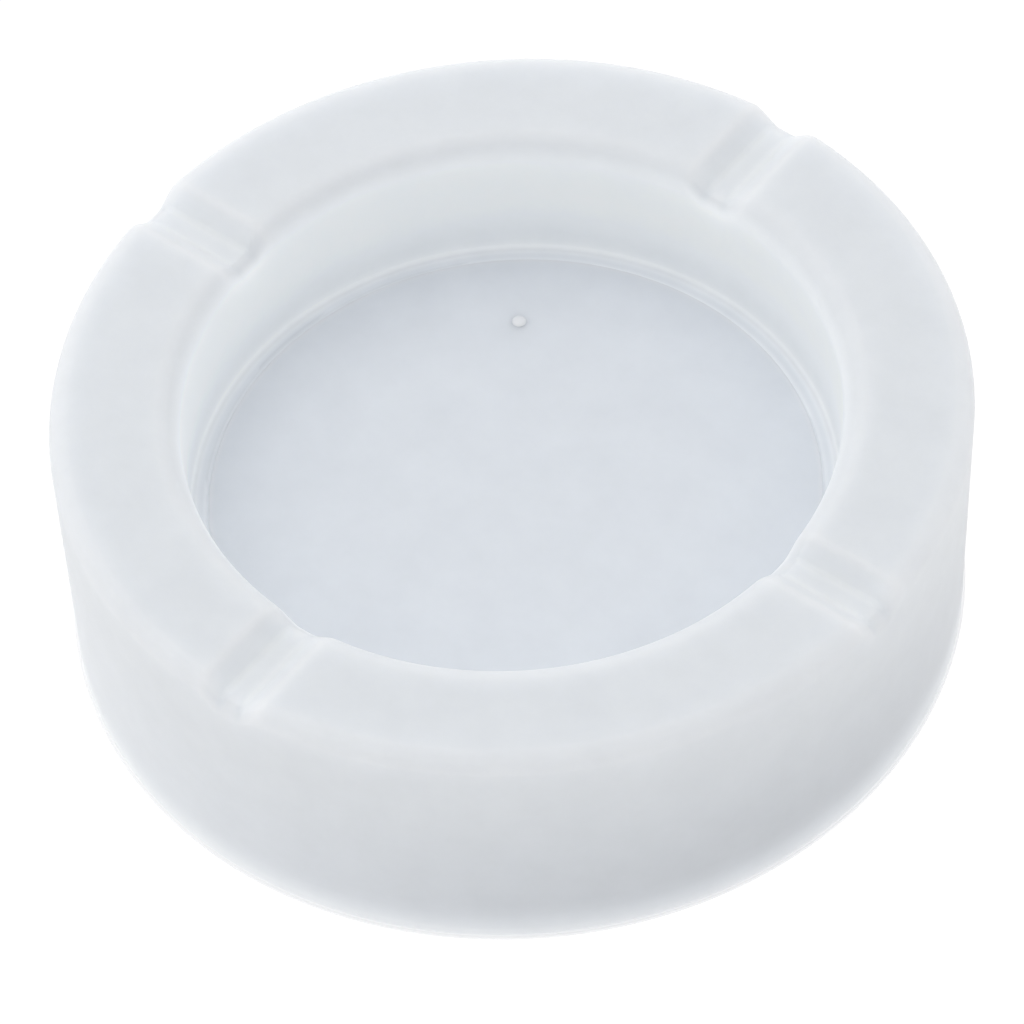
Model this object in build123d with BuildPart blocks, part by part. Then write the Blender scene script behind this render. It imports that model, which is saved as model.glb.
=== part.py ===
"""Resin casting mould for a round ashtray, lying with its pouring opening on the table.

One thin-walled silicone moulding. Its outside repeats the cast ashtray: a flat rim with four
rests, a bowl and a low floor. Its inside is the cavity that resin is poured into, open below.
Each zone of the moulding is a solid of its own, and the zones meet face to face.
Millimetres, +Z up, origin on the table under the middle of the mould, rests along X and Y.
"""

import os
from math import atan, cos, radians, sin, tan

from build123d import *

# Driving dimensions
height = 34.6
outer_radius = 55.0
mouth_radius = 53.1
wall = 2.8
rim_edge_round = 2.4
bowl_top_radius = 39.3
bowl_edge_round = 3.4
bowl_depth = 17.2
floor_radius = 38.7
floor_corner_round = 0.8
inner_corner_round = 1.1
floor_groove_depth = 0.45
floor_groove_round = 0.2
plateau_radius = 36.6
lip_height = 0.6
lip_proud = 0.35
rest_count = 4
rest_depth = 2.2
rest_top_half = 4.0
rest_bottom_half = 1.4
rest_edge_round = 2.0
rest_bottom_round = 1.2
rest_zone_half = 7.0
pip_radius = 0.9
pip_height = 0.35
pip_distance = 26.5
pip_azimuth = 126

# Worked out from the driving dimensions
floor_level = height - bowl_depth
under_floor = floor_level - wall
zone_level = height - rest_depth - 2 * wall
rest_step = 360 / rest_count
outer_slope = atan((outer_radius - mouth_radius) / height)
bowl_slope = atan((bowl_top_radius - floor_radius) / bowl_depth)
rest_slope = atan((rest_top_half - rest_bottom_half) / rest_depth)
outer_level_wall = wall / cos(outer_slope)
bowl_level_wall = wall / cos(bowl_slope)
rest_ridge_shift = wall / cos(rest_slope) - wall * tan(rest_slope)
floor_zone_radius = plateau_radius - 1
floor_groove_level = floor_level - floor_groove_depth
reach = 2 * outer_radius


def outer_wall_radius(level):
    """Outside radius of the drafted outer wall at a level above the table."""
    return mouth_radius + level * tan(outer_slope)


def bowl_wall_radius(level):
    """Radius of the bowl's sloping wall at a level above the table."""
    return floor_radius + (level - floor_level) * tan(bowl_slope)


def outside_line():
    """Outside of the moulding: mouth, rim, bowl, the fine groove round the floor, floor."""
    with BuildLine() as line:
        FilletPolyline(
            (mouth_radius, 0),
            (outer_radius, height),
            (bowl_top_radius, height),
            (floor_radius, floor_groove_level),
            (plateau_radius, floor_groove_level),
            (plateau_radius, floor_level),
            (0, floor_level),
            radius=[
                rim_edge_round,
                bowl_edge_round,
                floor_corner_round,
                floor_groove_round,
                floor_groove_round,
            ],
        )
    return line.line


def inside_line():
    """Inside of the moulding, one wall thickness in, from the floor back to the mouth."""
    inner_top = height - wall
    with BuildLine() as line:
        FilletPolyline(
            (0, under_floor),
            (bowl_wall_radius(under_floor) + bowl_level_wall, under_floor),
            (bowl_wall_radius(inner_top) + bowl_level_wall, inner_top),
            (outer_wall_radius(inner_top) - outer_level_wall, inner_top),
            (mouth_radius - outer_level_wall, 0),
            radius=[
                floor_corner_round + wall,
                inner_corner_round,
                inner_corner_round,
            ],
        )
    return line.line


def shell_face(inner_limit, outer_limit, low, high):
    """Half-section of the wall, kept between two radii and two levels, in the open sketch."""
    outside = outside_line()
    inside = inside_line()
    with BuildLine() as closing:
        Line(outside @ 1, inside @ 0)
        Line(inside @ 1, outside @ 0)
    make_face(outside.edges() + inside.edges() + closing.line.edges())
    middle = ((inner_limit + outer_limit) / 2, (low + high) / 2)
    with Locations(middle):
        Rectangle(outer_limit - inner_limit, high - low, mode=Mode.INTERSECT)


def block_face():
    """Half-section of everything within the outside of the moulding, in the open sketch."""
    outside = outside_line()
    with BuildLine() as closing:
        Polyline(outside @ 1, (0, 0), outside @ 0)
    make_face(outside.edges() + closing.line.edges())


def cavity_face():
    """Half-section of everything within the inside of the moulding, in the open sketch."""
    inside = inside_line()
    with BuildLine() as closing:
        Polyline(inside @ 1, (0, 0), inside @ 0)
    make_face(inside.edges() + closing.line.edges())


def rest_face(side_shift, drop, edge_round, bottom_round):
    """Cross-section of a rest, from its bottom up to well above the rim, in the open sketch."""
    top = height - drop
    bottom = top - rest_depth
    half_top = rest_top_half + side_shift
    half_bottom = rest_bottom_half + side_shift
    with BuildLine() as line:
        FilletPolyline(
            (-rest_zone_half * 2, top),
            (-half_top, top),
            (-half_bottom, bottom),
            (half_bottom, bottom),
            (half_top, top),
            (rest_zone_half * 2, top),
            radius=[edge_round, bottom_round, bottom_round, edge_round],
        )
        Polyline(
            (rest_zone_half * 2, top),
            (rest_zone_half * 2, height + wall),
            (-rest_zone_half * 2, height + wall),
            (-rest_zone_half * 2, top),
        )
    make_face(line.line.edges())


# Outer wall: the drafted side of the mould, from the lip up to the rim zone
with BuildPart() as outer_wall:
    with BuildSketch(Plane.XZ):
        shell_face(bowl_top_radius + 2 * wall, outer_radius + wall, lip_height, zone_level)
    revolve(axis=Axis.Z)
outer_wall.part.label = "outer_wall"

# Pour lip: the thin proud band round the mouth, which the mould stands on here
with BuildPart() as pour_lip:
    with BuildSketch(Plane.XZ):
        lip_inside = mouth_radius - outer_level_wall
        lip_outside = mouth_radius + lip_proud
        with Locations(((lip_inside + lip_outside) / 2, lip_height / 2)):
            Rectangle(lip_outside - lip_inside, lip_height)
    revolve(axis=Axis.Z)
pour_lip.part.label = "pour_lip"

# Bowl wall: the side of the bowl from the edge of the floor, over its groove, to the rim zone
with BuildPart() as bowl_wall:
    with BuildSketch(Plane.XZ):
        shell_face(floor_zone_radius, bowl_top_radius + 1.5 * wall, under_floor, zone_level)
    revolve(axis=Axis.Z)
bowl_wall.part.label = "bowl_wall"

# Bowl floor: a flat disc with a small moulding pip
with BuildPart() as bowl_floor:
    with BuildSketch(Plane.XY.offset(under_floor)):
        Circle(floor_zone_radius)
    extrude(amount=wall)
    pip_x = pip_distance * cos(radians(pip_azimuth))
    pip_y = pip_distance * sin(radians(pip_azimuth))
    with Locations((pip_x, pip_y, floor_level)):
        Cylinder(pip_radius, pip_height, align=(Align.CENTER, Align.CENTER, Align.MIN))
bowl_floor.part.label = "bowl_floor"

# Rim quarter: the channel-shaped ring between two rests, shaped once from +X to +Y
with BuildPart() as rim_quarter_form:
    with BuildSketch(Plane.XZ):
        shell_face(floor_zone_radius, outer_radius + wall, zone_level, height + wall)
    revolve(axis=Axis.Z)
    quarter_corner = (rest_zone_half, rest_zone_half, 0)
    with Locations(quarter_corner):
        Box(reach, reach, reach, align=Align.MIN, mode=Mode.INTERSECT)

# Rest: the same channel with a rounded dip across it, of even thickness, shaped once on +X
with BuildPart() as rest_cavity:
    with BuildSketch(Plane.XZ):
        cavity_face()
    revolve(axis=Axis.Z)
    with BuildSketch(Plane.YZ):
        rest_face(rest_ridge_shift, wall, rest_edge_round / 2, rest_bottom_round + wall)
    extrude(amount=reach, mode=Mode.SUBTRACT)
with BuildPart() as rest_form:
    with BuildSketch(Plane.XZ):
        block_face()
    revolve(axis=Axis.Z)
    with BuildSketch(Plane.YZ):
        rest_face(0, 0, rest_edge_round, rest_bottom_round)
    extrude(amount=reach, mode=Mode.SUBTRACT)
    with Locations((0, 0, zone_level)):
        Box(
            reach,
            2 * rest_zone_half,
            reach,
            align=(Align.MIN, Align.CENTER, Align.MIN),
            mode=Mode.INTERSECT,
        )
    add(rest_cavity.part, mode=Mode.SUBTRACT)

rim_quarters = []
rests = []
for number in range(rest_count):
    turn = number * rest_step
    with BuildPart() as rim_quarter:
        add(rim_quarter_form.part, rotation=(0, 0, turn))
    rim_quarter.part.label = f"rim_quarter_{number + 1}"
    rim_quarters.append(rim_quarter)
    with BuildPart() as rest:
        add(rest_form.part, rotation=(0, 0, turn))
    rest.part.label = f"rest_{number + 1}"
    rests.append(rest)

os.makedirs("parts", exist_ok=True)
for piece in [outer_wall, pour_lip, bowl_wall, bowl_floor, *rim_quarters, *rests]:
    export_step(piece.part, f"parts/{piece.part.label}.step")
    print(piece.part.label, round(piece.part.volume), "mm3")
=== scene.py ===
"""Looks of the resin casting mould: one seamless shell of translucent white silicone.

The CAD model splits the moulding into zones. Here one mesh stands for all of them, with the
rounded rests, the fine line round the floor, the proud lip at the mouth and the even wall.
Metres, in the frame of the CAD model: origin on the table, +Z up, rests along X and Y.
"""

from math import asin, atan, atan2, cos, pi, radians, sin, sqrt, tan

import bmesh
import bpy
from mathutils import Matrix, Vector, noise


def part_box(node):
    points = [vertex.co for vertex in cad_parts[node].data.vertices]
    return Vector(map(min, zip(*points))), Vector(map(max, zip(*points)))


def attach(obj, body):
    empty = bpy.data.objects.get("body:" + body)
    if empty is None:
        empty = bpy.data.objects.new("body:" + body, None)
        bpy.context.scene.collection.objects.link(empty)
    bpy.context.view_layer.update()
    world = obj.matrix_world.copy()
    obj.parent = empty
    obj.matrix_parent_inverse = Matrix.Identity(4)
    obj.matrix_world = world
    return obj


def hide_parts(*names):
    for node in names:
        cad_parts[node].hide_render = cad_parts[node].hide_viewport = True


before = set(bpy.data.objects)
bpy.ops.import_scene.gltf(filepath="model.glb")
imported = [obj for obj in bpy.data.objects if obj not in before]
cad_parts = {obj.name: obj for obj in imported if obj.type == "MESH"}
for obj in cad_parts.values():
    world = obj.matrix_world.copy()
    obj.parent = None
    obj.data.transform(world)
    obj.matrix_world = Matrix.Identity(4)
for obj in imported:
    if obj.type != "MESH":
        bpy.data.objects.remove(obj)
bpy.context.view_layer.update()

MM = 0.001

# Sizes that the frame gives
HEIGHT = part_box("rim_quarter_1")[1].z
OUTER_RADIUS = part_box("rest_1")[1].x
LIP_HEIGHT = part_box("pour_lip")[1].z

# Shape of the moulding
MOUTH_RADIUS = 53.1 * MM
LIP_PROUD = 0.35 * MM
LIP_EDGE_ROUND = 0.18 * MM
LIP_CREASE_ROUND = 0.12 * MM
MOUTH_INNER_ROUND = 0.3 * MM
INNER_CORNER_ROUND = 1.1 * MM
WALL = 2.8 * MM
RIM_EDGE_ROUND = 2.4 * MM
BOWL_TOP_RADIUS = 39.3 * MM
BOWL_EDGE_ROUND = 3.4 * MM
BOWL_DEPTH = 17.2 * MM
FLOOR_RADIUS = 38.7 * MM
FLOOR_CORNER_ROUND = 0.8 * MM
FLOOR_GROOVE_DEPTH = 0.45 * MM
FLOOR_GROOVE_ROUND = 0.2 * MM
PLATEAU_RADIUS = 36.6 * MM
REST_DEPTH = 2.2 * MM
REST_TOP_HALF = 4.0 * MM
REST_BOTTOM_HALF = 1.4 * MM
REST_EDGE_ROUND = 2.0 * MM
REST_BOTTOM_ROUND = 1.6 * MM
REST_END_ROUND = 2.2 * MM
REST_INNER_EDGE_ROUND = 1.0 * MM
REST_INNER_BOTTOM_ROUND = 4.0 * MM
INNER_SPREAD = 1.35
REST_ZONE_HALF = 7.0 * MM
REST_COUNT = 4
PIP_RADIUS = 0.9 * MM
PIP_HEIGHT = 0.25 * MM
PIP_SINK = 0.1 * MM
PIP_DISTANCE = 26.5 * MM
PIP_AZIMUTH = radians(126)

# How far soft rubber strays from true
WOBBLE = 0.06 * MM
WOBBLE_ROUND = 1.6
WOBBLE_UP = 18
OVALITY = 0.010
LONG_AZIMUTH = radians(84)

# Worked out from the sizes above
LIP_RADIUS = MOUTH_RADIUS + LIP_PROUD
FLOOR_LEVEL = HEIGHT - BOWL_DEPTH
UNDER_FLOOR = FLOOR_LEVEL - WALL
FLOOR_GROOVE_LEVEL = FLOOR_LEVEL - FLOOR_GROOVE_DEPTH
OUTER_SLOPE = (OUTER_RADIUS - MOUTH_RADIUS) / HEIGHT
BOWL_SLOPE = (BOWL_TOP_RADIUS - FLOOR_RADIUS) / BOWL_DEPTH
OUTER_LEVEL_WALL = WALL / cos(atan(OUTER_SLOPE))
BOWL_LEVEL_WALL = WALL / cos(atan(BOWL_SLOPE))
MID_MOUTH = MOUTH_RADIUS - WALL / 2
STRAIGHT_RADIUS = PLATEAU_RADIUS - 1 * MM

# Painted light, shade and glow standing in for how the rubber carries light: shares of its plain
# colour, and how far each fades
# Painted light and painted glow on the bowl's wall: how strong, how the glow swings towards one
# side, and how both fade to the rim and the foot
BOWL_PAINTED_LIGHT = 0.25
BOWL_PAINTED_GLOW = 0.105
BOWL_PAINTED_GLOW_SWING = 0.35
PAINTED_GLOW_AZIMUTH = radians(219)
BOWL_TOP_FADE = 5 * MM
BOWL_FOOT_FADE = 9 * MM
BOWL_FOOT_SHARE = 0.55
# Painted shade on the bowl's floor
FLOOR_PAINTED_SHADE = 0.09
# Painted light in the rests' hollows
REST_PAINTED_LIGHT = 0.07
# Painted shade low on the outside, on the dim side
OUTER_PAINTED_SHADE = 0.23
OUTER_FOOT_FADE = 7 * MM
OUTER_FOOT_SHARE = 0.55
# Painted shade in the crease over the lip
LIP_CREASE_PAINTED_SHADE = 0.05
# Side where the surround is dimmer and the painted shade outside is strongest
DIM_AZIMUTH = radians(-16)

# How the bend of the surface is measured
EDGE_SCALE = 1.2 * MM
EDGE_SPREAD = 0.6
EDGE_PASSES = 3

# How finely the mesh is cut
PLAIN_COLUMNS = 30
FLOOR_ROWS = 24
UNDER_FLOOR_ROWS = 12
PIP_RINGS = 8
PIP_SEGMENTS = 32

# The rubber's surface
ROUGHNESS = 0.42
REFRACTION = 1.41
# The plain colour of the rubber, and lighter colours for hollows and convex edges as painted light
HOLLOW_PAINTED_LIGHT_COLOUR = (0.775, 0.80, 0.825, 1)
PLAIN_COLOUR = (0.70, 0.725, 0.755, 1)
CONVEX_PAINTED_LIGHT_COLOUR = (0.725, 0.742, 0.765, 1)

# The light
SURROUND_BRIGHT = 0.95
SURROUND_DIM = 0.7
LAMP_SIZE = 0.7
LAMP_POWER = 1.2
LAMP_TURN = radians(215)
LAMP_REACH = 0.45
LAMP_HEIGHT = 0.75
TABLE_HALF = 1.5

# The view: the camera looks down at the mould from beside one rest
VIEW_AZIMUTH = radians(-51)
VIEW_ELEVATION = radians(50.6)
VIEW_ROLL = radians(-2.65)
VIEW_DISTANCE = 1.65
VIEW_LENS = 493
VIEW_RIGHT = 0.5 * MM
VIEW_UP = 2.1 * MM


def smooth(t):
    """Eased step from 0 to 1."""
    t = min(max(t, 0.0), 1.0)
    return t * t * (3 - 2 * t)


def faded(share, t):
    """Eased step from a share to 1."""
    return share + (1 - share) * smooth(t)


def rounded_polyline(points, radii, arc_steps, run_steps):
    """Points along a polyline whose inner corners are arcs: the same count for any sizes."""
    line = []
    start = Vector(points[0])
    for index, radius in enumerate(radii):
        before, corner, after = (Vector(point) for point in points[index:index + 3])
        come = (before - corner).normalized()
        leave = (after - corner).normalized()
        half = come.angle(leave) / 2
        setback = radius / tan(half)
        centre = corner + (come + leave).normalized() * radius / sin(half)
        first = corner + come * setback
        last = corner + leave * setback
        runs = run_steps[index]
        line += [start.lerp(first, step / runs) for step in range(runs)]
        arcs = arc_steps[index]
        turned = (first - centre).angle_signed(last - centre)
        for step in range(arcs):
            spoke = first - centre
            spoke.rotate(Matrix.Rotation(-turned * step / arcs, 2))
            line.append(centre + spoke)
        start = last
    end = Vector(points[-1])
    runs = run_steps[-1]
    return line + [start.lerp(end, step / runs) for step in range(runs + 1)]


def rest_section(top_half, bottom_half, edge_round, bottom_round):
    """Half the cross-section of a rest: (distance from its middle, drop below the rim)."""
    corners = [(REST_ZONE_HALF, 0), (top_half, 0), (bottom_half, REST_DEPTH), (0, REST_DEPTH)]
    return rounded_polyline(corners, [edge_round, bottom_round], [7, 7], [3, 3, 2])


def mirrored(half):
    """A whole cross-section from its half, side to side."""
    other = [Vector((-point.x, point.y)) for point in half[:-1]]
    return other + half[::-1]


def rest_columns():
    """Columns of the mesh across a rest: its outside and its inside cross-section."""
    slope = atan((REST_TOP_HALF - REST_BOTTOM_HALF) / REST_DEPTH)
    shift = WALL / cos(slope) - WALL * tan(slope)
    outside = rest_section(REST_TOP_HALF, REST_BOTTOM_HALF, REST_EDGE_ROUND, REST_BOTTOM_ROUND)
    inside = rest_section(
        REST_TOP_HALF + shift,
        REST_BOTTOM_HALF + shift,
        REST_INNER_EDGE_ROUND,
        REST_INNER_BOTTOM_ROUND,
    )
    return list(zip(mirrored(outside), mirrored(inside)))


def outside_profile(drop):
    """Outside of the wall where the rim is lowered by drop, from the mouth to the floor."""
    lowered = drop / REST_DEPTH
    top = HEIGHT - drop
    edge = RIM_EDGE_ROUND + (REST_END_ROUND - RIM_EDGE_ROUND) * lowered
    bowl_edge = BOWL_EDGE_ROUND + (REST_END_ROUND - BOWL_EDGE_ROUND) * lowered
    corners = [
        (MID_MOUTH, 0),
        (LIP_RADIUS, 0),
        (LIP_RADIUS, LIP_HEIGHT),
        (MOUTH_RADIUS + LIP_HEIGHT * OUTER_SLOPE, LIP_HEIGHT),
        (MOUTH_RADIUS + top * OUTER_SLOPE, top),
        (FLOOR_RADIUS + (top - FLOOR_LEVEL) * BOWL_SLOPE, top),
        (FLOOR_RADIUS, FLOOR_GROOVE_LEVEL),
        (PLATEAU_RADIUS, FLOOR_GROOVE_LEVEL),
        (PLATEAU_RADIUS, FLOOR_LEVEL),
        (STRAIGHT_RADIUS, FLOOR_LEVEL),
    ]
    rounds = [LIP_EDGE_ROUND, LIP_EDGE_ROUND, LIP_CREASE_ROUND, edge, bowl_edge]
    rounds += [FLOOR_CORNER_ROUND, FLOOR_GROOVE_ROUND, FLOOR_GROOVE_ROUND]
    arc_steps = [4, 4, 4, 10, 12, 8, 5, 5]
    run_steps = [3, 2, 2, 16, 12, 14, 4, 1, 3]
    return rounded_polyline(corners, rounds, arc_steps, run_steps)


def inside_profile(drop):
    """Inside of the wall where its ceiling is lowered by drop, from the mouth to the floor."""
    ceiling = HEIGHT - WALL - drop
    bowl_foot = FLOOR_RADIUS + (UNDER_FLOOR - FLOOR_LEVEL) * BOWL_SLOPE + BOWL_LEVEL_WALL
    bowl_head = FLOOR_RADIUS + (ceiling - FLOOR_LEVEL) * BOWL_SLOPE + BOWL_LEVEL_WALL
    corners = [
        (MID_MOUTH, 0),
        (MOUTH_RADIUS - OUTER_LEVEL_WALL, 0),
        (MOUTH_RADIUS + ceiling * OUTER_SLOPE - OUTER_LEVEL_WALL, ceiling),
        (bowl_head, ceiling),
        (bowl_foot, UNDER_FLOOR),
        (STRAIGHT_RADIUS, UNDER_FLOOR),
    ]
    rounds = [MOUTH_INNER_ROUND, INNER_CORNER_ROUND, INNER_CORNER_ROUND, FLOOR_CORNER_ROUND + WALL]
    return rounded_polyline(corners, rounds, [4, 6, 6, 8], [3, 14, 6, 12, 4])


def disc_rows(level, rows):
    """Rings of the floor, outside or under it: (radius, level) on to the middle."""
    return [Vector((STRAIGHT_RADIUS * (1 - step / rows), level)) for step in range(1, rows)]


def mould_columns():
    """Every column round the mould: turn of its sector, place in it, outside and inside cut."""
    sections = rest_columns()
    columns = []
    for number in range(REST_COUNT):
        turn = number * 2 * pi / REST_COUNT
        for outside, inside in reversed(sections):
            columns.append((turn, None, outside, inside))
        edge_outside, edge_inside = sections[0]
        for step in range(1, PLAIN_COLUMNS):
            columns.append((turn, step / PLAIN_COLUMNS, edge_outside, edge_inside))
    return columns


def placed(column, radius, level, inner):
    """Point of a column at a radius and level, with the slight unevenness of soft rubber."""
    turn, between, outside, inside = column
    reach = max(radius, STRAIGHT_RADIUS)
    if between is None:
        side = -outside.x
        if inner:
            side += (outside.x - inside.x) * smooth(level / HEIGHT * INNER_SPREAD)
        angle = turn + asin(side / reach)
    else:
        half = asin(REST_ZONE_HALF / reach)
        angle = turn + half + (2 * pi / REST_COUNT - 2 * half) * between
    spot = Vector((cos(angle) * WOBBLE_ROUND, sin(angle) * WOBBLE_ROUND, level * WOBBLE_UP))
    uneven = WOBBLE * (0.5 + noise.noise(spot)) * radius / OUTER_RADIUS
    narrow = OVALITY * (1 - cos(2 * (angle - LONG_AZIMUTH)))
    radius = radius * (1 - narrow) - uneven
    return Vector((radius * cos(angle), radius * sin(angle), level))


def add_sheet(mesh, columns, rows_of, inner):
    """Vertices of one side of the wall: a list for each row, with one vertex per column."""
    profiles = [rows_of(column) for column in columns]
    sheet = []
    for row in range(len(profiles[0])):
        ring = []
        for column, profile in zip(columns, profiles):
            point = profile[row]
            ring.append(mesh.verts.new(placed(column, point.x, point.y, inner)))
        sheet.append(ring)
    return sheet


def join_rings(mesh, first, second):
    """A band of faces between two rings of vertices."""
    for index, vertex in enumerate(first):
        mesh.faces.new((first[index - 1], vertex, second[index], second[index - 1]))


def close_ring(mesh, ring, middle):
    """A fan of faces from a small ring to its middle vertex."""
    for index, vertex in enumerate(ring):
        mesh.faces.new((ring[index - 1], vertex, middle))


def add_edge_measure(mesh):
    """Stores how convex (above 0) or hollow (below 0) the surface is round each vertex."""
    layer = mesh.verts.layers.float.new("edge")
    bend = {}
    for vertex in mesh.verts:
        total = 0.0
        for link in vertex.link_edges:
            step = link.other_vert(vertex).co - vertex.co
            total -= 2 * step.dot(vertex.normal) / max(step.length_squared, 1e-12)
        bend[vertex] = total / len(vertex.link_edges)
    for vertex in mesh.verts:
        bend[vertex] = min(max(bend[vertex] * EDGE_SCALE, -1.0), 1.0)
    for _ in range(EDGE_PASSES):
        bend = {
            vertex: (1 - EDGE_SPREAD) * bend[vertex]
            + EDGE_SPREAD * sum(bend[link.other_vert(vertex)] for link in vertex.link_edges)
            / len(vertex.link_edges)
            for vertex in mesh.verts
        }
    for vertex in mesh.verts:
        vertex[layer] = bend[vertex]


def bowl_painted_light_weight(facing, level):
    """Mask of the painted light and glow on the bowl's wall: how far a point in the bowl counts as
    its wall, fading to the rim, and less at the foot.
    """
    upright = smooth((-facing - 0.5) / 0.5)
    foot = faded(BOWL_FOOT_SHARE, (level - FLOOR_LEVEL) / BOWL_FOOT_FADE)
    return upright * smooth((HEIGHT + MM - level) / BOWL_TOP_FADE) * foot


def outside_painted_shade(facing, level, azimuth):
    """Painted shade outside, on the dim side: low down, and in the crease over the lip."""
    low = smooth(1.15 * (1 - level / HEIGHT)) * faded(OUTER_FOOT_SHARE, level / OUTER_FOOT_FADE)
    side = (0.5 + 0.5 * cos(azimuth - DIM_AZIMUTH)) ** 2
    crease = smooth(1.5 - abs(level - 1.3 * LIP_HEIGHT) / (0.6 * LIP_HEIGHT))
    return OUTER_PAINTED_SHADE * low * side * smooth(facing / 0.6) + LIP_CREASE_PAINTED_SHADE * crease * side


def add_painted_light_shade(mesh):
    """Stores painted light and shade at each vertex, and a painted glow on the bowl's wall."""
    layer = mesh.verts.layers.float.new("painted_light_shade")
    painted_glow = mesh.verts.layers.float.new("painted_glow")
    for vertex in mesh.verts:
        place = vertex.co
        radius = sqrt(place.x * place.x + place.y * place.y)
        azimuth = atan2(place.y, place.x)
        facing = (vertex.normal.x * place.x + vertex.normal.y * place.y) / max(radius, MM)
        painted_light_shade = 1.0
        if PLATEAU_RADIUS - MM < radius < BOWL_TOP_RADIUS + BOWL_EDGE_ROUND:
            wall = bowl_painted_light_weight(facing, place.z)
            # Painted light on the bowl's wall
            painted_light_shade += BOWL_PAINTED_LIGHT * wall
            # Painted glow on the bowl's wall, stronger towards the side the light comes from
            swing = 1 + BOWL_PAINTED_GLOW_SWING * cos(azimuth - PAINTED_GLOW_AZIMUTH)
            vertex[painted_glow] = BOWL_PAINTED_GLOW * wall * swing
        if radius < PLATEAU_RADIUS:
            # Painted shade on the floor
            painted_light_shade -= FLOOR_PAINTED_SHADE
        if BOWL_TOP_RADIUS + MM < radius < OUTER_RADIUS - MM and place.z > HEIGHT - 1.1 * REST_DEPTH:
            # Painted light in the rests
            painted_light_shade += REST_PAINTED_LIGHT * smooth(1.6 * (HEIGHT - place.z) / REST_DEPTH) * (1 - abs(facing))
        if radius > MOUTH_RADIUS - 2 * MM:
            # Painted shade on the outside
            painted_light_shade -= outside_painted_shade(facing, place.z, azimuth)
        vertex[layer] = painted_light_shade


def make_shell():
    """The whole moulding as one closed mesh of even wall thickness."""
    mesh = bmesh.new()
    columns = mould_columns()
    floor = disc_rows(FLOOR_LEVEL, FLOOR_ROWS)
    under = disc_rows(UNDER_FLOOR, UNDER_FLOOR_ROWS)
    outside = add_sheet(mesh, columns, lambda c: outside_profile(c[2].y) + floor, False)
    inside = add_sheet(mesh, columns, lambda c: inside_profile(c[3].y)[1:] + under, True)
    for first, second in zip(outside, outside[1:]):
        join_rings(mesh, first, second)
    close_ring(mesh, outside[-1], mesh.verts.new((0, 0, FLOOR_LEVEL)))
    join_rings(mesh, inside[0], outside[0])
    for first, second in zip(inside, inside[1:]):
        join_rings(mesh, second, first)
    close_ring(mesh, inside[-1][::-1], mesh.verts.new((0, 0, UNDER_FLOOR)))
    bmesh.ops.recalc_face_normals(mesh, faces=mesh.faces)
    mesh.normal_update()
    add_edge_measure(mesh)
    add_painted_light_shade(mesh)
    return finished(mesh, "mould_shell")


def make_pip():
    """The small rounded pip that the moulding's gate leaves on the floor."""
    mesh = bmesh.new()
    middle = Vector((PIP_DISTANCE * cos(PIP_AZIMUTH), PIP_DISTANCE * sin(PIP_AZIMUTH), 0))
    last = None
    for row in range(PIP_RINGS):
        lean = row / PIP_RINGS * pi / 2
        radius = PIP_RADIUS * cos(lean)
        level = FLOOR_LEVEL - PIP_SINK + (PIP_HEIGHT + PIP_SINK) * sin(lean)
        ring = []
        for step in range(PIP_SEGMENTS):
            angle = 2 * pi * step / PIP_SEGMENTS
            place = middle + Vector((radius * cos(angle), radius * sin(angle), level))
            ring.append(mesh.verts.new(place))
        if last:
            join_rings(mesh, last, ring)
        else:
            mesh.faces.new(ring[::-1])
        last = ring
    close_ring(mesh, last, mesh.verts.new(middle + Vector((0, 0, FLOOR_LEVEL + PIP_HEIGHT))))
    bmesh.ops.recalc_face_normals(mesh, faces=mesh.faces)
    return finished(mesh, "floor_pip")


def finished(mesh, name):
    """A smooth-shaded object from a finished mesh."""
    data = bpy.data.meshes.new(name)
    mesh.to_mesh(data)
    mesh.free()
    for face in data.polygons:
        face.use_smooth = True
    piece = bpy.data.objects.new(name, data)
    bpy.context.scene.collection.objects.link(piece)
    return piece


def add_node(tree, kind, values):
    """A shader node of a kind, with the values of its inputs."""
    node = tree.nodes.new(kind)
    for name, value in values.items():
        node.inputs[name].default_value = value
    return node


def measure(tree, name):
    """A measure that the mesh stores at its vertices."""
    node = tree.nodes.new("ShaderNodeAttribute")
    node.attribute_name = name
    return node.outputs["Fac"]


def painted_bend_light(tree):
    """Plain colour with painted light by the bend of the surface: a little lighter in hollows and
    along round edges.
    """
    scaled = add_node(tree, "ShaderNodeMapRange", {"From Min": -0.5, "From Max": 0.5})
    ramp = tree.nodes.new("ShaderNodeValToRGB")
    tree.links.new(measure(tree, "edge"), scaled.inputs["Value"])
    tree.links.new(scaled.outputs["Result"], ramp.inputs["Fac"])
    steps = ramp.color_ramp.elements
    steps[0].position = 0.0
    steps[0].color = HOLLOW_PAINTED_LIGHT_COLOUR
    steps[1].position = 1.0
    steps[1].color = CONVEX_PAINTED_LIGHT_COLOUR
    steps.new(0.5).color = PLAIN_COLOUR
    return ramp.outputs["Color"]


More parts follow.
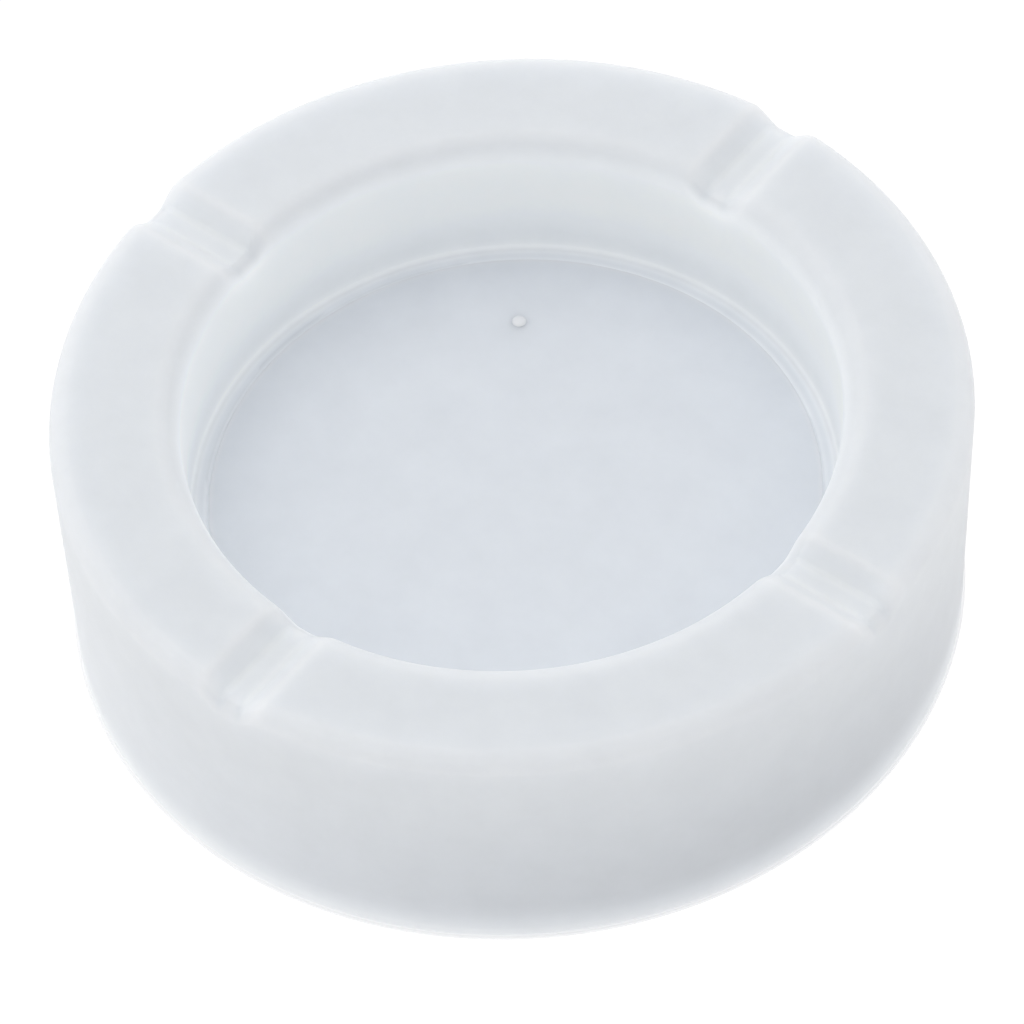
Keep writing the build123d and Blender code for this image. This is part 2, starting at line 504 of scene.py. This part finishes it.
def cloudiness_and_painted_light(tree, place):
    """Brightness: the painted light and shade stored on the mesh, times a faint cloudiness."""
    cloud = add_node(tree, "ShaderNodeTexNoise", {"Scale": 170, "Detail": 6, "Roughness": 0.65})
    tree.links.new(place, cloud.inputs["Vector"])
    limits = {"From Min": 0.3, "From Max": 0.7, "To Min": 0.98, "To Max": 1.02}
    narrowed = add_node(tree, "ShaderNodeMapRange", limits)
    tree.links.new(cloud.outputs["Fac"], narrowed.inputs["Value"])
    cloud_and_painted_light = tree.nodes.new("ShaderNodeMath")
    cloud_and_painted_light.operation = "MULTIPLY"
    tree.links.new(narrowed.outputs["Result"], cloud_and_painted_light.inputs[0])
    tree.links.new(measure(tree, "painted_light_shade"), cloud_and_painted_light.inputs[1])
    return cloud_and_painted_light.outputs["Value"]


def satin_normal(tree, place):
    """Very fine grain that makes the surface satin."""
    grain = add_node(tree, "ShaderNodeTexNoise", {"Scale": 1400, "Detail": 3})
    bump = add_node(tree, "ShaderNodeBump", {"Strength": 0.12, "Distance": 0.05 * MM})
    tree.links.new(place, grain.inputs["Vector"])
    tree.links.new(grain.outputs["Fac"], bump.inputs["Height"])
    return bump.outputs["Normal"]


def silicone():
    """Translucent white silicone: satin, faintly cloudy, with painted light where it bends and
    painted light, shade and glow from the mesh.
    """
    material = bpy.data.materials.new("silicone")
    material.use_nodes = True
    tree = material.node_tree
    shader = tree.nodes["Principled BSDF"]
    place = tree.nodes.new("ShaderNodeTexCoord").outputs["Object"]
    colour_and_painted_light = tree.nodes.new("ShaderNodeMix")
    colour_and_painted_light.data_type = "RGBA"
    colour_and_painted_light.blend_type = "MULTIPLY"
    colour_and_painted_light.inputs["Factor"].default_value = 1.0
    # Base colour: plain colour with painted light by bend, times the painted light and shade stored
    # on the mesh
    tree.links.new(painted_bend_light(tree), colour_and_painted_light.inputs["A"])
    tree.links.new(cloudiness_and_painted_light(tree, place), colour_and_painted_light.inputs["B"])
    tree.links.new(colour_and_painted_light.outputs["Result"], shader.inputs["Base Color"])
    # Painted glow: the bowl's wall gives off light though it is no lamp
    tree.links.new(measure(tree, "painted_glow"), shader.inputs["Emission Strength"])
    tree.links.new(satin_normal(tree, place), shader.inputs["Normal"])
    # Colour of the painted glow
    shader.inputs["Emission Color"].default_value = (0.90, 0.96, 1.0, 1)
    shader.inputs["Roughness"].default_value = ROUGHNESS
    shader.inputs["IOR"].default_value = REFRACTION
    shader.inputs["Specular IOR Level"].default_value = 0.25
    shader.inputs["Subsurface Weight"].default_value = 1.0
    shader.inputs["Subsurface Radius"].default_value = (1.0, 1.0, 1.05)
    shader.inputs["Subsurface Scale"].default_value = 6.0 * MM
    return material


def pip_silicone():
    """The same rubber for the pip, which is too small to carry light: plain, and a little lighter as
    painted light.
    """
    material = bpy.data.materials.new("silicone_pip")
    material.use_nodes = True
    shader = material.node_tree.nodes["Principled BSDF"]
    # Painted light: a lighter copy of the rubber's plain colour
    shader.inputs["Base Color"].default_value = (0.76, 0.77, 0.79, 1)
    shader.inputs["Roughness"].default_value = ROUGHNESS
    shader.inputs["IOR"].default_value = REFRACTION
    return material


def make_floor():
    """White light-table top, so that the mould stands on plain white with no shadow."""
    mesh = bmesh.new()
    corners = [(-1, -1), (1, -1), (1, 1), (-1, 1)]
    mesh.faces.new([mesh.verts.new((TABLE_HALF * x, TABLE_HALF * y, 0)) for x, y in corners])
    floor = finished(mesh, "table")
    material = bpy.data.materials.new("table")
    material.use_nodes = True
    shader = material.node_tree.nodes["Principled BSDF"]
    shader.inputs["Base Color"].default_value = (0.05, 0.05, 0.05, 1)
    shader.inputs["Roughness"].default_value = 1.0
    shader.inputs["Specular IOR Level"].default_value = 0.0
    shader.inputs["Emission Color"].default_value = (1, 1, 1, 1)
    shader.inputs["Emission Strength"].default_value = 1.0
    floor.data.materials.append(material)


def make_light():
    """Soft studio light: a white surround, dimmer on one side, and one broad lamp behind."""
    world = bpy.data.worlds.new("surround")
    bpy.context.scene.world = world
    world.use_nodes = True
    back = world.node_tree.nodes["Background"]
    back.inputs["Color"].default_value = (1, 1, 1, 1)
    spread = world.node_tree.nodes.new("ShaderNodeTexCoord")
    dark_side = world.node_tree.nodes.new("ShaderNodeVectorMath")
    dark_side.operation = "DOT_PRODUCT"
    dark_side.inputs[1].default_value = (cos(DIM_AZIMUTH), sin(DIM_AZIMUTH), 0)
    strength = world.node_tree.nodes.new("ShaderNodeMapRange")
    strength.interpolation_type = "SMOOTHSTEP"
    strength.inputs["From Min"].default_value = 0.0
    strength.inputs["From Max"].default_value = 1.0
    strength.inputs["To Min"].default_value = SURROUND_BRIGHT
    strength.inputs["To Max"].default_value = SURROUND_DIM
    links = world.node_tree.links
    links.new(spread.outputs["Generated"], dark_side.inputs[0])
    links.new(dark_side.outputs["Value"], strength.inputs["Value"])
    links.new(strength.outputs["Result"], back.inputs["Strength"])
    lamp = bpy.data.lights.new("overhead", "AREA")
    lamp.shape = "DISK"
    lamp.size = LAMP_SIZE
    lamp.energy = LAMP_POWER
    lamp.color = (0.96, 0.98, 1.0)
    holder = bpy.data.objects.new("overhead", lamp)
    bpy.context.scene.collection.objects.link(holder)
    azimuth = VIEW_AZIMUTH + LAMP_TURN
    holder.location = (LAMP_REACH * cos(azimuth), LAMP_REACH * sin(azimuth), LAMP_HEIGHT)
    holder.rotation_euler = (-holder.location).to_track_quat("-Z", "Y").to_euler()


def make_camera():
    """Long lens, looking down past the near rim, a little tilted."""
    away = Vector((
        cos(VIEW_ELEVATION) * cos(VIEW_AZIMUTH),
        cos(VIEW_ELEVATION) * sin(VIEW_AZIMUTH),
        sin(VIEW_ELEVATION),
    ))
    right = Vector((-sin(VIEW_AZIMUTH), cos(VIEW_AZIMUTH), 0))
    up = away.cross(right)
    target = Vector((0, 0, HEIGHT / 2)) - up * VIEW_UP - right * VIEW_RIGHT
    camera = bpy.data.cameras.new("camera")
    camera.lens = VIEW_LENS
    camera.clip_start = 0.05
    holder = bpy.data.objects.new("camera", camera)
    bpy.context.scene.collection.objects.link(holder)
    turned = Matrix((right, up, away)).transposed().to_4x4()
    holder.matrix_world = (
        Matrix.Translation(target + away * VIEW_DISTANCE)
        @ turned
        @ Matrix.Rotation(VIEW_ROLL, 4, "Z")
    )
    bpy.context.scene.camera = holder


bpy.context.scene.view_settings.view_transform = "Standard"
make_camera()
make_light()
make_floor()
shell = make_shell()
pip = make_pip()
for piece, skin in ((shell, silicone()), (pip, pip_silicone())):
    piece.data.materials.append(skin)
    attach(piece, "root")
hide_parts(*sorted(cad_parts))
